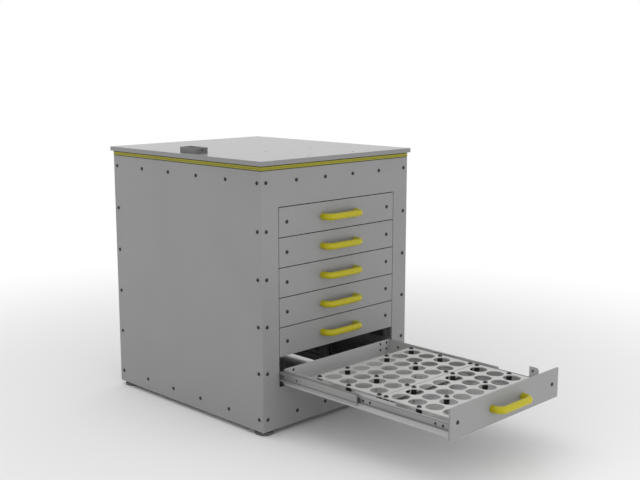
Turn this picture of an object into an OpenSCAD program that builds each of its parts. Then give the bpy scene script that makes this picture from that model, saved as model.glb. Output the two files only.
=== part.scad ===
// Small parts cabinet: a panelled steel body on a slotted profile frame, with a
// worktop plate, an open bottom and six full-extension drawers with rack plates.
// Lengths are in millimetres. X runs right along the front, Y runs to the back,
// Z runs up, and the origin is on the floor under the centre of the body.

/* [Body] */
// Width of the body over its side panels
body_w = 740; // [700:5:800]
// Depth of the body over its front and back panels
body_d = 850; // [820:5:950]
// Height of the body's panels
body_h = 900; // [880:5:1000]
// Thickness of a body panel
panel_t = 6; // [4:0.5:8]
// Height of the feet
foot_h = 16; // [10:1:24]
// Radius of a foot's disc
foot_r = 33; // [28:1:35]
// Height of a foot's disc
foot_disc_h = 10; // [6:0.5:13]
// Radius of the neck between a foot's disc and the body
foot_neck_r = 19; // [12:1:26]
// Radius of the rounded upper edge of a foot's disc
foot_round_r = 3; // [1:0.5:4]
// Distance from the body's edges to a foot's centre
foot_inset = 36; // [35:1:45]

/* [Frame] */
// Width of the square profile of the corner posts and rails
post_w = 30; // [28:1:34]
// Width of the square profile of the uprights that carry the slides
upright_w = 40; // [36:1:44]
// Width of the mouth of a profile's slot
slot_w = 8; // [7:0.5:10]
// Depth of a profile's slot
slot_depth = 9; // [8:0.5:10]
// Thickness of the lips beside a slot's mouth
slot_lip = 2; // [1.5:0.5:3]
// Height of a slot's straight sides behind its lips
slot_shoulder = 2; // [1:0.5:3]
// Width of a slot behind its lips
slot_cavity_w = 16; // [13:1:18]
// Radius of the bore along a profile's core
core_r = 3.4; // [2.5:0.1:4.5]
// Height of the lower rails' centre line above the body's bottom edge
rail_low = 43.6; // [35:0.2:60]
// Drop of the upper rails' centre line below the body's top edge
rail_drop = 39; // [30:1:50]

/* [Worktop] */
// Height of the band between the body and the top plate
band_h = 18; // [12:1:24]
// Distance from the body's faces to the inside of the band's ring
band_w = 20; // [12:1:24]
// How far the band's ring lies behind the body's faces
band_recess = 1; // [0.5:0.5:3]
// How far the band's two beads stand out from the body
band_proud = 2; // [0.5:0.5:4]
// Height of a bead
bead_h = 5.5; // [3:0.25:6]
// Distance between the middles of the two beads
bead_pitch = 8; // [7:0.25:9]
// Side of a square corner block under the top plate
block_w = 56; // [53:1:70]
// Thickness of the top plate
top_t = 16; // [10:1:25]
// Overhang of the top plate all round
top_overhang = 8.7; // [5:0.1:20]
// Distance from the body's edges to the first corner screw of the top plate
top_screw_inset = 27; // [25:1:30]
// Distance between the corner screws of the top plate
top_screw_pitch = 39; // [30:1:40]
// Side of the square of bolt holes in the worktop
bolt_pitch = 225; // [150:5:260]
// Radius of a bolt hole in the worktop
bolt_hole_r = 5; // [3:0.5:8]
// Distance from the body's front face to the centre of the bolt holes
bolt_back = 151.5; // [145:0.5:400]

/* [Nest] */
// Width of the nest on the worktop
nest_w = 51; // [40:1:80]
// Length of the nest, its end cap included
nest_l = 95; // [80:1:150]
// Height of the nest
nest_h = 20; // [14:1:40]
// Distance from the body's left face to the nest
nest_left = 25; // [5:1:60]
// Distance from the body's front face to the nest
nest_back = 369; // [330:1:480]
// Thickness of the nest's walls and floor
nest_wall = 5; // [3:0.5:8]
// Thickness of the nest's end cap
nest_cap_t = 9; // [6:0.5:15]
// Radius of the port in the nest's end cap
nest_port_r = 5; // [3:0.5:6]
// Gap between the nest and its end cap
nest_seam = 0.4; // [0.2:0.1:1]

/* [Fronts] */
// Height of the lowest drawer space above the body's bottom edge
sill_h = 148.8; // [120:0.2:170]
// Height of the front above the highest drawer space
lintel_h = 126; // [110:0.5:150]
// Gap between two drawer fronts
front_gap = 3; // [1:0.5:4]
// Gap between a drawer front and the side of the opening
front_side_gap = 2.5; // [0.5:0.5:4]
// Thickness of a drawer front
front_t = 6; // [4:0.5:8]
// Distance from the side of the opening to a front's screw
front_screw_inset = 38.8; // [30:0.2:60]
// Distance between a handle's two legs
handle_pitch = 167; // [120:1:220]
// Radius of a handle's bar
handle_r = 12; // [8:0.5:14]
// How far a handle stands out from its front
handle_reach = 48; // [44:1:60]
// Radius of a handle's bends, to the middle of the bar
handle_bend_r = 25; // [16:1:30]

/* [Trays] */
// Clear space behind the drawers, in front of the back panel
rear_space = 108; // [60:1:120]
// Thickness of a tray's sheet metal
sheet_t = 1.5; // [1:0.1:2.5]
// Gap between two riveted sheets of a tray
sheet_seam = 0.2; // [0.1:0.1:0.5]
// Height of a tray's underside above the bottom of its drawer space
tray_lift = 3.7; // [2:0.1:6]
// Height of a tray's side walls where they are low
wall_h = 48.5; // [45:0.5:51]
// Height of a tray's front and back walls and of the raised parts of its sides
wall_high_h = 56; // [54:0.5:60]
// Radius of the rounded ends of the raised parts
wall_round_r = 6; // [2:0.5:7]
// Distance from a tray's front to the lug on its right wall
lug_back = 58; // [30:1:90]
// Length of the lug
lug_l = 37; // [30:1:50]
// Space between the lug and the next drawer space
lug_clear = 15; // [12:0.5:25]
// Radius of the lug's front corner
lug_r = 11; // [4:1:15]
// Radius of the hole in the lug
lug_hole_r = 2.6; // [1.5:0.1:4]
// Distance from the lug's rear edge and top to the hole
lug_hole_inset = 14; // [10:1:18]
// Width of the cross slot in a tray's floor
cross_slot_w = 18; // [3:0.5:24]
// Distance from a tray's front to the cross slot
cross_slot_back = 343; // [320:1:380]

/* [Racks] */
// Distance between two holes of a rack plate
rack_pitch = 68.75; // [66:0.25:72]
// Radius of a rack plate's hole
rack_hole_r = 30; // [20:0.5:31]
// Least distance from a hole to a rack plate's edge
rack_edge = 12; // [8:1:15]
// Thickness of a rack plate
rack_t = 3; // [2:0.5:5]
// Gap between the tray's rear wall and the second rack plate
rack_rear_gap = 128.3; // [110:0.1:130]
// Gap between the two rack plates
rack_seam = 3; // [1:0.5:4]
// Gap between a rack plate and each side wall of the tray
rack_side_gap = 21; // [16:0.5:26]
// Gap between the tray's front wall and the first rack plate
rack_front_gap = 4.2; // [2:0.1:10]
// Height of the rack plates above the tray's floor
rack_lift = 49; // [40:0.5:51]
// Height of the spacers under the rack plates
spacer_h = 20; // [10:1:35]
// Radius of a spacer
spacer_r = 9.5; // [5:0.5:10]
// How much nearer the outer rows of rack screws lie to a plate's middle
rack_screw_inset = 2.5; // [0:0.5:3]

/* [Slides] */
// Thickness of a whole slide, from its upright to the tray
slide_t = 19.5; // [18.5:0.5:24]
// Height of a slide's centre line above the bottom of its drawer space
slide_rise = 36.9; // [34:0.1:39]
// Distance from the body's front face to the front end of the slides
slide_inset = 12; // [11.5:0.5:20]
// Thickness of the slides' sheet metal
rail_t = 2; // [1.5:0.1:2.2]
// Height of a cabinet member
outer_h = 46; // [44:0.5:50]
// Width of a cabinet member
outer_w = 12; // [9:0.5:13]
// Height of a middle member
middle_h = 35; // [34:0.5:37]
// Height of each band of a middle member, beside its sunk web
middle_band_h = 8; // [7:0.5:9]
// Depth of the sunk web of a middle member
middle_sink = 5.5; // [4.5:0.1:6]
// Width of a middle member
middle_w = 11.5; // [9:0.5:12]
// Height of a drawer member
inner_h = 22; // [20:0.5:24]
// Running gap between the members of a slide
slide_play = 0.5; // [0.3:0.1:0.8]
// Length of the bumper on the front end of a middle member
bumper_l = 3; // [2:0.5:5]
// Gap between a bumper and its member
bumper_gap = 0.2; // [0.1:0.1:0.5]
// Distance from a slide's front end to the first screw of its drawer member
pair_inset = 26; // [10:1:40]
// Distance between the two screws of a pair on a drawer member
pair_gap = 29; // [15:1:40]
// Distance from a slide's rear end to the last screw of its drawer member
pair_rear = 82; // [60:1:110]
// Distance from a slide's front end to the first access hole of its middle member
access_inset = 279; // [200:1:400]
// Distance between the two access holes of a middle member
access_gap = 66; // [20:1:120]
// Radius of an access hole
access_r = 3.5; // [2:0.5:5]

/* [Fasteners] */
// Radius of a panel screw's head
head_r = 6.75; // [4:0.25:7.5]
// Height of a panel screw's head
head_h = 3.5; // [2:0.25:4]
// Radius of a panel screw's shank
shank_r = 3; // [2:0.1:3.2]
// Length of a panel screw's shank behind its head
shank_l = 14; // [10:0.5:14.5]
// Radius of a screw's hexagonal socket
socket_r = 2.3; // [1.5:0.1:2.6]
// Gap between a screw's shank and the hole that it goes through
hole_play = 0.25; // [0.1:0.05:0.5]
// Radius of a countersunk head on the worktop
flush_head_r = 5; // [4:0.25:6]
// Height of a countersunk head on the worktop
flush_head_h = 2.7; // [2:0.1:3]
// Radius of a countersunk screw's shank
flush_shank_r = 2.5; // [2:0.1:2.8]
// Radius of a rack screw's head
rack_head_r = 8.5; // [5:0.5:9]
// Height of a rack screw's head
rack_head_h = 5.5; // [3:0.5:7]
// Radius of the head of a screw that holds a slide
slide_head_r = 4.5; // [3.5:0.25:5]
// Radius of a rivet's head
rivet_r = 5; // [2.5:0.25:6]
// Height of a rivet's head
rivet_h = 1.4; // [0.8:0.1:1.6]

/* [Hidden] */
// Number of drawers, one above the other
drawer_count = 6;
// How far each drawer stands open, from the top drawer down, as a share of its travel
rest_open_shares = [0, 0, 0, 0, 0, 1];
// The middle member of a slide goes half as far as its drawer
middle_travel_share = 0.5;
// Panel screws along one edge of a panel
screws_per_edge = 6;
// Pairs of screws along one drawer member of a slide
slide_pairs = 3;
// Raised parts of a tray's side walls, as shares of its length from the front
wall_rise_shares = [[0.3, 0.543], [0.702, 1]];
// Width of the cross slot as a share of a rack plate's width
cross_slot_share = 0.94;
// Outline of a screw's head: height of its rim and radius of its crown
head_rim_share = 0.35;
head_crown_share = 0.72;
// Depth of a screw's socket as a share of its head's height
socket_depth_share = 0.6;
// Half width of a slot's floor as a share of the profile's core
slot_floor_share = 0.6;
// Share of the nest's height that its port takes up from the bottom
nest_port_share = 0.55;
// Places of the rivets on a tray's rear wall, from the side wall and from the floor
rivet_near = 10.5;
rivet_corner = 45;
rivet_low = 19;
rivet_high = 43;
// Place of the single rivet on a side wall, from the rear corner
rivet_far = 49;
// How far a cutting solid runs past the face that it cuts
over = 1;
// Angle between two points of a bead's rounded face
band_step = 15;
// Smoothness of round forms
$fn = 48;

// Frame of the drawers' opening, of the rails and of the slides
opening_x = panel_t + post_w + upright_w;
opening_w = body_w - 2 * opening_x;
opening_h = body_h - sill_h - lintel_h;
drawer_pitch = opening_h / drawer_count;
rail_high = body_h - rail_drop;
screw_inset = panel_t + post_w / 2;
tray_end = body_d - panel_t - rear_space;
tray_l = tray_end - front_t;
tray_x = opening_x + slide_t;
tray_w = opening_w - 2 * slide_t;
travel = tray_end;
slide_l = tray_end - slide_inset;
pair_step = (slide_l - pair_inset - pair_gap - pair_rear) / (slide_pairs - 1);
wall_z = tray_lift + sheet_t;
lug_h = drawer_pitch - tray_lift - lug_clear;
// Sections of the slides, measured from the upright towards the drawer
middle_u = rail_t + slide_play;
middle_web_u = middle_u + middle_sink;
inner_w = slide_t - middle_web_u - rail_t - slide_play;
outer_lip_h = (outer_h - middle_h) / 2 - 2 * slide_play;
middle_lip_h = (middle_h - inner_h) / 2 - 4 * slide_play;
// Rack plates
rack_w = tray_w - 2 * sheet_t - 2 * rack_side_gap;
rack_room = tray_l - 2 * sheet_t - rack_front_gap - rack_rear_gap;
rack_d = (rack_room - rack_seam) / 2;
rack_reach = rack_hole_r + rack_edge;
rack_cols = 1 + floor((rack_w - 2 * rack_reach) / rack_pitch);
rack_rows = 1 + floor((rack_d - 2 * rack_reach) / rack_pitch);
rack_z = wall_z + rack_lift;
cross_l = rack_w * cross_slot_share;
rack_y = front_t + sheet_t + rack_front_gap;
rack_step = rack_d + rack_seam;
// Heights and places that several parts share
slide_screw_ys = [
    panel_t + upright_w / 2,
    slide_inset + slide_l / 2,
    tray_end - upright_w / 2
];

FIXED_NODES = [
    "corner_posts", "frame_rails", "slide_uprights", "left_panel", "right_panel",
    "back_panel", "front_panel", "edge_band", "corner_blocks",
    "top_plate", "feet", "worktop_nest", "panel_screws", "top_screws",
    "cabinet_slides_left", "cabinet_slides_right", "slide_screws"
];
DRAWER_NODES = [
    "drawer_front_", "handle_", "tray_", "rack_plates_", "drawer_hardware_",
    "drawer_slides_", "middle_slides_"
];

// Places its children from the body's lower front left corner
module body_frame() {
    translate([-body_w / 2, -body_d / 2, foot_h]) children();
}

// Draws its children on the left side and mirrored on the right side
module both_sides() {
    children();
    other_side() children();
}

module other_side() {
    translate([body_w, 0, 0]) mirror([1, 0, 0]) children();
}

// Places its children in the space of drawer n, moved a share of its opening
module drawer_space(n, move_share) {
    body_frame()
    translate([
        0,
        -move_share * rest_open_shares[n - 1] * travel,
        sill_h + (drawer_count - n) * drawer_pitch
    ])
    children();
}

// Slotted profile of width w along Z
module slot_outline(w) {
    core = w / 2 - slot_depth;
    polygon([
        [-slot_w / 2, over],
        [-slot_w / 2, -slot_lip],
        [-slot_cavity_w / 2, -slot_lip],
        [-slot_cavity_w / 2, -slot_lip - slot_shoulder],
        [-core * slot_floor_share, -slot_depth],
        [core * slot_floor_share, -slot_depth],
        [slot_cavity_w / 2, -slot_lip - slot_shoulder],
        [slot_cavity_w / 2, -slot_lip],
        [slot_w / 2, -slot_lip],
        [slot_w / 2, over]
    ]);
}

module slotted_profile(w, length) {
    linear_extrude(length)
    difference() {
        square([w, w], center = true);
        for (turn = [0 : 90 : 270]) {
            rotate(turn) translate([0, w / 2]) slot_outline(w);
        }
        circle(r = core_r);
    }
}

module corner_posts() {
    color("darkgray")
    body_frame()
    both_sides()
    for (y = [screw_inset, body_d - screw_inset]) {
        translate([screw_inset, y, 0]) slotted_profile(post_w, body_h);
    }
}

module frame_rails() {
    between = panel_t + post_w;
    color("darkgray")
    body_frame()
    for (z = [rail_low, rail_high]) {
        for (y = [screw_inset, body_d - screw_inset]) {
            translate([between, y, z])
            rotate([0, 90, 0])
            slotted_profile(post_w, body_w - 2 * between);
        }
        for (x = [screw_inset, body_w - screw_inset]) {
            translate([x, body_d - between, z])
            rotate([90, 0, 0])
            slotted_profile(post_w, body_d - 2 * between);
        }
    }
}

// The front uprights stand between the front rails, the others against the side rails
module slide_uprights() {
    x = opening_x - upright_w / 2;
    color("darkgray")
    body_frame()
    both_sides() {
        translate([x, slide_screw_ys[0], rail_low + post_w / 2])
        slotted_profile(upright_w, rail_high - rail_low - post_w);
        for (i = [1, 2]) {
            translate([x, slide_screw_ys[i], rail_low - post_w / 2])
            slotted_profile(upright_w, rail_high - rail_low + post_w);
        }
    }
}

// Perimeter places of the screws on a face of width w
function edge_screws(w) = [
    for (i = [0 : screws_per_edge - 1])
    for (j = [0 : screws_per_edge - 1])
    if (i == 0 || j == 0 || i == screws_per_edge - 1 || j == screws_per_edge - 1)
    [
        screw_inset + i * (w - 2 * screw_inset) / (screws_per_edge - 1),
        rail_low + j * (rail_high - rail_low) / (screws_per_edge - 1)
    ]
];

// Places its children on each screw of the front or back face
module on_front_screws(y, turn) {
    for (p = edge_screws(body_w)) {
        translate([p[0], y, p[1]]) rotate([turn, 0, 0]) children();
    }
}

// Places its children on each screw of the left face
module on_left_screws() {
    for (p = edge_screws(body_d)) {
        translate([0, p[0], p[1]]) rotate([0, -90, 0]) children();
    }
}

// Hole through a wall of thickness t, whose outer face is at zero and faces +Z
module clear_hole(t, r) {
    translate([0, 0, -t - over]) cylinder(r = r + hole_play, h = t + 2 * over);
}

module side_panel() {
    difference() {
        translate([0, panel_t, 0]) cube([panel_t, body_d - 2 * panel_t, body_h]);
        on_left_screws() clear_hole(panel_t, shank_r);
    }
}

module left_panel() {
    color("gray") body_frame() side_panel();
}

module right_panel() {
    color("gray") body_frame() other_side() side_panel();
}

module back_panel() {
    color("gray")
    body_frame()
    difference() {
        translate([0, body_d - panel_t, 0]) cube([body_w, panel_t, body_h]);
        on_front_screws(body_d, -90) clear_hole(panel_t, shank_r);
    }
}

module front_panel() {
    color("gray")
    body_frame()
    difference() {
        cube([body_w, panel_t, body_h]);
        translate([opening_x, -over, sill_h - front_gap / 2])
        cube([opening_w, panel_t + 2 * over, opening_h + front_gap]);
        on_front_screws(0, 90) clear_hole(panel_t, shank_r);
    }
}

// Half section of a foot: a disc with a rounded upper edge, and its neck
module foot_outline() {
    square([foot_r, foot_disc_h - foot_round_r]);
    square([foot_r - foot_round_r, foot_disc_h]);
    translate([foot_r - foot_round_r, foot_disc_h - foot_round_r])
    intersection() {
        circle(r = foot_round_r);
        square(foot_round_r);
    }
    square([foot_neck_r, foot_h]);
}

module feet() {
    color("black")
    body_frame()
    both_sides()
    for (y = [foot_inset, body_d - foot_inset]) {
        translate([foot_inset, y, -foot_h]) rotate_extrude() foot_outline();
    }
}

// Half section of the band's two beads, from its ring's face
module band_outline() {
    for (side = [-1, 1]) {
        translate([0, (band_h + side * bead_pitch) / 2])
        polygon([
            for (a = [-90 : band_step : 90])
            [(band_recess + band_proud) * cos(a), bead_h / 2 * sin(a)]
        ]);
    }
}

// The beads of one side of the band along +X, rounded towards -Y
module band_side(length) {
    rotate([90, 0, 90]) linear_extrude(length) mirror([1, 0]) band_outline();
}

module edge_band() {
    ring_w = body_w - 2 * band_recess;
    ring_d = body_d - 2 * band_recess;
    band_wall = band_w - band_recess;
    color("gold")
    body_frame()
    translate([band_recess, band_recess, body_h]) {
        difference() {
            cube([ring_w, ring_d, band_h]);
            translate([band_wall, band_wall, -over])
            cube([ring_w - 2 * band_wall, ring_d - 2 * band_wall, band_h + 2 * over]);
        }
        band_side(ring_w);
        translate([ring_w, ring_d, 0]) rotate(180) band_side(ring_w);
        translate([0, ring_d, 0]) rotate(-90) band_side(ring_d);
        translate([ring_w, 0, 0]) rotate(90) band_side(ring_d);
        for (x = [0, ring_w]) {
            for (y = [0, ring_d]) {
                translate([x, y, 0]) rotate_extrude() band_outline();
            }
        }
    }
}

// Places its children on the worktop's corner screws, at the height z
module on_top_screws(z) {
    near = [top_screw_inset, top_screw_inset + top_screw_pitch];
    for (x = concat(near, [for (d = near) body_w - d])) {
        for (y = concat(near, [for (d = near) body_d - d])) {
            translate([x, y, z]) children();
        }
    }
}

module corner_blocks() {
    far = band_w + block_w;
    color("dimgray")
    body_frame()
    difference() {
        for (x = [band_w, body_w - far]) {
            for (y = [band_w, body_d - far]) {
                translate([x, y, body_h]) cube([block_w, block_w, band_h]);
            }
        }
        on_top_screws(body_h + band_h) clear_hole(band_h, flush_shank_r);
    }
}

module top_plate() {
    top_z = body_h + band_h + top_t;
    color("lightgray")
    body_frame()
    difference() {
        translate([-top_overhang, -top_overhang, body_h + band_h])
        cube([body_w + 2 * top_overhang, body_d + 2 * top_overhang, top_t]);
        on_top_screws(top_z) {
            clear_hole(top_t, flush_shank_r);
            translate([0, 0, -flush_head_h])
            cylinder(r1 = flush_shank_r + hole_play, r2 = flush_head_r + hole_play, h = flush_head_h);
            cylinder(r = flush_head_r + hole_play, h = over);
        }
        for (x = [-bolt_pitch / 2, bolt_pitch / 2]) {
            for (y = [-bolt_pitch / 2, bolt_pitch / 2]) {
                translate([body_w / 2 + x, bolt_back + y, body_h + band_h - over])
                cylinder(r = bolt_hole_r, h = top_t + 2 * over);
            }
        }
    }
}

// Open nest with a ported end cap
module worktop_nest() {
    cup_l = nest_l - nest_cap_t - nest_seam;
    color("slategray")
    body_frame()
    translate([nest_left, nest_back, body_h + band_h + top_t]) {
        translate([0, nest_cap_t + nest_seam, 0])
        difference() {
            cube([nest_w, cup_l, nest_h]);
            translate([nest_wall, nest_wall, nest_wall])
            cube([nest_w - 2 * nest_wall, cup_l - 2 * nest_wall, nest_h]);
        }
        difference() {
            cube([nest_w, nest_cap_t, nest_h]);
            translate([nest_w / 2, -over, nest_h * nest_port_share])
            rotate([-90, 0, 0])
            cylinder(r = nest_port_r, h = nest_cap_t / 2 + over);
        }
    }
}

// Domed screw along Z whose head stands on the plane z = 0
module dome_screw(r, h, shank, length) {
    difference() {
        rotate_extrude()
        polygon([
            [0, -length],
            [shank, -length],
            [shank, 0],
            [r, 0],
            [r, h * head_rim_share],
            [r * head_crown_share, h],
            [0, h]
        ]);
        translate([0, 0, h * (1 - socket_depth_share)]) cylinder(r = socket_r, h = h, $fn = 6);
    }
}

module panel_screws() {
    color("black")
    body_frame() {
        on_front_screws(0, 90) dome_screw(head_r, head_h, shank_r, shank_l);
        on_front_screws(body_d, -90) dome_screw(head_r, head_h, shank_r, shank_l);
        both_sides() on_left_screws() dome_screw(head_r, head_h, shank_r, shank_l);
    }
}

module top_screws() {
    color("silver")
    body_frame()
    on_top_screws(body_h + band_h + top_t)
    difference() {
        rotate_extrude()
        polygon([
            [0, -top_t - band_h],
            [flush_shank_r, -top_t - band_h],
            [flush_shank_r, -flush_head_h],
            [flush_head_r, 0],
            [0, 0]
        ]);
        translate([0, 0, -flush_head_h * socket_depth_share])
        cylinder(r = socket_r, h = flush_head_h, $fn = 6);
    }
}

// Channel section with its web on the line x = 0, open towards +X; its lips
// reach down from the flanges' edges, and a lip of rail_t leaves a plain flange
module channel_section(h, w, lip) {
    translate([0, -h / 2]) square([rail_t, h]);
    for (side = [0, 1]) {
        mirror([0, side]) {
            translate([0, h / 2 - rail_t]) square([w, rail_t]);
            translate([w - rail_t, h / 2 - lip]) square([rail_t, lip]);
        }
    }
}

// Section of a middle member: a sunk web between two hollow bands
module middle_section() {
    band_low = middle_h / 2 - middle_band_h;
    web_end = middle_web_u + rail_t;
    translate([middle_web_u, -band_low - rail_t]) square([rail_t, 2 * (band_low + rail_t)]);
    for (side = [0, 1]) {
        mirror([0, side]) {
            translate([middle_u, band_low]) square([web_end - middle_u, rail_t]);
            translate([middle_u, band_low]) square([rail_t, middle_band_h]);
            translate([middle_u, middle_h / 2 - rail_t]) square([middle_w, rail_t]);
            translate([middle_u + middle_w - rail_t, middle_h / 2 - middle_lip_h])
            square([rail_t, middle_lip_h]);
        }
    }
}

// Draws a section of the left slide along its whole length
module along_slide() {
    translate([opening_x, tray_end, slide_rise])
    rotate([90, 0, 0])
    linear_extrude(slide_l)
    children();
}

module cabinet_slides() {
    for (n = [1 : drawer_count]) {
        translate([0, 0, sill_h + (drawer_count - n) * drawer_pitch])
        difference() {
            along_slide() channel_section(outer_h, outer_w, outer_lip_h);
            for (y = slide_screw_ys) {
                translate([opening_x + rail_t, y, slide_rise])
                rotate([0, 90, 0])
                clear_hole(rail_t, shank_r);
            }
        }
    }
}

module cabinet_slides_left() {
    color("silver") body_frame() cabinet_slides();
}

module cabinet_slides_right() {
    color("silver") body_frame() other_side() cabinet_slides();
}

// Screws that hold the cabinet members to the slots of the uprights
module slide_screws() {
    color("black")
    body_frame()
    both_sides()
    for (n = [1 : drawer_count]) {
        for (y = slide_screw_ys) {
            translate([opening_x + rail_t, y, slide_rise + sill_h + (drawer_count - n) * drawer_pitch])
            rotate([0, 90, 0])
            dome_screw(slide_head_r, rivet_h, shank_r, slot_depth);
        }
    }
}

module middle_slides(n) {
    color("silver")
    drawer_space(n, middle_travel_share)
    both_sides() {
        difference() {
            along_slide() middle_section();
            for (y = [access_inset, access_inset + access_gap]) {
                translate([opening_x + middle_web_u + rail_t, slide_inset + y, slide_rise])
                rotate([0, 90, 0])
                clear_hole(rail_t, access_r);
            }
        }
        translate([
            opening_x + middle_u,
            slide_inset - bumper_gap - bumper_l,
            slide_rise - middle_h / 2 + rail_t
        ])
        cube([middle_sink + rail_t, bumper_l, middle_h - 2 * rail_t]);
    }
}

module drawer_slides(n) {
    color("silver")
    drawer_space(n, 1)
    both_sides()
    difference() {
        along_slide()
        translate([slide_t, 0])
        mirror([1, 0])
        channel_section(inner_h, inner_w, rail_t);
        on_pair_screws() clear_hole(rail_t, shank_r);
    }
}

// Places its children on the screws of the left drawer member, facing the upright
module on_pair_screws() {
    for (i = [0 : slide_pairs - 1]) {
        for (j = [0, 1]) {
            y = slide_inset + pair_inset + i * pair_step + j * pair_gap;
            translate([tray_x - rail_t, y, slide_rise]) rotate([0, -90, 0]) children();
        }
    }
}

module drawer_front(n) {
    color("gray")
    drawer_space(n, 1)
    difference() {
        translate([opening_x + front_side_gap, 0, front_gap / 2])
        cube([opening_w - 2 * front_side_gap, front_t, drawer_pitch - front_gap]);
        on_front_fixings() clear_hole(front_t, shank_r);
    }
}

// Places its children on the two screws of a drawer front
module on_front_fixings() {
    for (x = [opening_x + front_screw_inset, body_w - opening_x - front_screw_inset]) {
        translate([x, 0, drawer_pitch / 2]) rotate([90, 0, 0]) children();
    }
}

module handle(n) {
    leg_l = handle_reach - handle_r - handle_bend_r;
    color("gold")
    drawer_space(n, 1)
    translate([body_w / 2, 0, drawer_pitch / 2]) {
        for (side = [0, 1]) {
            mirror([side, 0, 0]) {
                translate([handle_pitch / 2, 0, 0]) rotate([90, 0, 0]) cylinder(r = handle_r, h = leg_l);
                translate([handle_pitch / 2 - handle_bend_r, -leg_l, 0])
                rotate(-90)
                rotate_extrude(angle = 90)
                translate([handle_bend_r, 0])
                circle(r = handle_r);
            }
        }
        translate([handle_bend_r - handle_pitch / 2, -leg_l - handle_bend_r, 0])
        rotate([0, 90, 0])
        cylinder(r = handle_r, h = handle_pitch - 2 * handle_bend_r);
    }
}

// Tab of a side wall from y0 to y1, up to the height h, with round upper corners
module wall_tab(y0, y1, h) {
    translate([y0, 0]) square([y1 - y0, h - wall_round_r]);
    translate([y0 + wall_round_r, 0]) square([y1 - y0 - 2 * wall_round_r, h]);
    for (y = [y0 + wall_round_r, y1 - wall_round_r]) {
        translate([y, h - wall_round_r]) circle(r = wall_round_r);
    }
}

// Outline of a tray's side wall, from its front end and its underside
module wall_outline() {
    square([tray_l, wall_h]);
    for (s = wall_rise_shares) {
        wall_tab(s[0] * tray_l, s[1] * tray_l, wall_high_h);
    }
}

// Lug on the right wall, with one round corner and a hole
module lug_outline() {
    translate([lug_back, 0])
    difference() {
        union() {
            square([lug_l, lug_h - lug_r]);
            translate([lug_r, 0]) square([lug_l - lug_r, lug_h]);
            translate([lug_r, lug_h - lug_r]) circle(r = lug_r);
        }
        translate([lug_l - lug_hole_inset, lug_h - lug_hole_inset]) circle(r = lug_hole_r);
    }
}

// Stands an outline of a side wall up, with its outer face on the plane x = 0
module stand_wall() {
    rotate([90, 0, 90]) linear_extrude(sheet_t) children();
}

// Places its children at the near left corner of the strip in a tray's cross slot
module cross_place() {
    translate([
        (body_w - cross_l) / 2 + hole_play,
        front_t + cross_slot_back - cross_slot_w / 2 + hole_play,
        tray_lift
    ])
    children();
}

// A tray is riveted from five sheets: the floor and the end walls stand between the
// side walls, and the end walls stand on the floor
module tray(n) {
    inside = sheet_t + sheet_seam;
    color("lightgray")
    drawer_space(n, 1)
    difference() {
        translate([tray_x, front_t, tray_lift]) {
            translate([inside, 0, 0]) cube([tray_w - 2 * inside, tray_l, sheet_t]);
            for (y = [0, tray_l - sheet_t]) {
                translate([inside, y, inside])
                cube([tray_w - 2 * inside, sheet_t, wall_high_h - inside]);
            }
            stand_wall() wall_outline();
            translate([tray_w - sheet_t, 0, 0])
            stand_wall() {
                wall_outline();
                lug_outline();
            }
        }
        cross_place()
        translate([-hole_play, -hole_play, -over])
        cube([cross_l, cross_slot_w, sheet_t + 2 * over]);
        translate([0, front_t, 0]) on_front_fixings() clear_hole(sheet_t, shank_r);
    }
}

// Places its children on the middle of each rack plate, at the height z
module on_racks(z) {
    for (i = [0, 1]) {
        translate([body_w / 2, rack_y + rack_d / 2 + i * rack_step, z]) children();
    }
}

// Places its children on a rack plate's screws, at the joints of its hole grid
module on_rack_screws() {
    for (i = [0, 2, rack_cols - 2, rack_cols]) {
        for (j = [-1, 0, 1]) {
            translate([
                (i - rack_cols / 2) * rack_pitch,
                j * (rack_rows / 2 * rack_pitch - rack_screw_inset),
                0
            ])
            children();
        }
    }
}

module rack_plates(n) {
    color("whitesmoke")
    drawer_space(n, 1)
    on_racks(rack_z)
    linear_extrude(rack_t)
    difference() {
        square([rack_w, rack_d], center = true);
        for (i = [0 : rack_cols - 1]) {
            for (j = [0 : rack_rows - 1]) {
                translate([
                    (i - (rack_cols - 1) / 2) * rack_pitch,
                    (j - (rack_rows - 1) / 2) * rack_pitch
                ])
                circle(r = rack_hole_r);
            }
        }
        on_rack_screws() circle(r = shank_r + hole_play);
    }
}

// Rivets on the inner faces of a tray near its rear left corner
module on_corner_rivets() {
    rear = tray_end - sheet_t;
    side = tray_x + sheet_t;
    for (z = [wall_z + rivet_low, wall_z + rivet_high]) {
        for (x = [side + rivet_near, side + rivet_corner]) {
            translate([x, rear, z]) rotate([90, 0, 0]) children();
        }
    }
    translate([side, rear - rivet_far, wall_z + (rivet_low + rivet_high) / 2])
    rotate([0, 90, 0])
    children();
}

module drawer_hardware(n) {
    color("black")
    drawer_space(n, 1) {
        on_racks(rack_z)
        on_rack_screws()
        difference() {
            translate([0, 0, -spacer_h]) cylinder(r = spacer_r, h = spacer_h);
            clear_hole(spacer_h, shank_r);
        }
        on_racks(rack_z + rack_t)
        on_rack_screws()
        dome_screw(rack_head_r, rack_head_h, shank_r, rack_t + rack_lift);
        cross_place() cube([cross_l - 2 * hole_play, cross_slot_w - 2 * hole_play, sheet_t]);
        on_front_fixings() dome_screw(head_r, head_h, shank_r, front_t + 2 * sheet_t);
        both_sides() {
            on_corner_rivets() dome_screw(rivet_r, rivet_h, socket_r, 0);
            on_pair_screws() dome_screw(slide_head_r, rivet_h, shank_r, rail_t);
        }
    }
}

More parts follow.
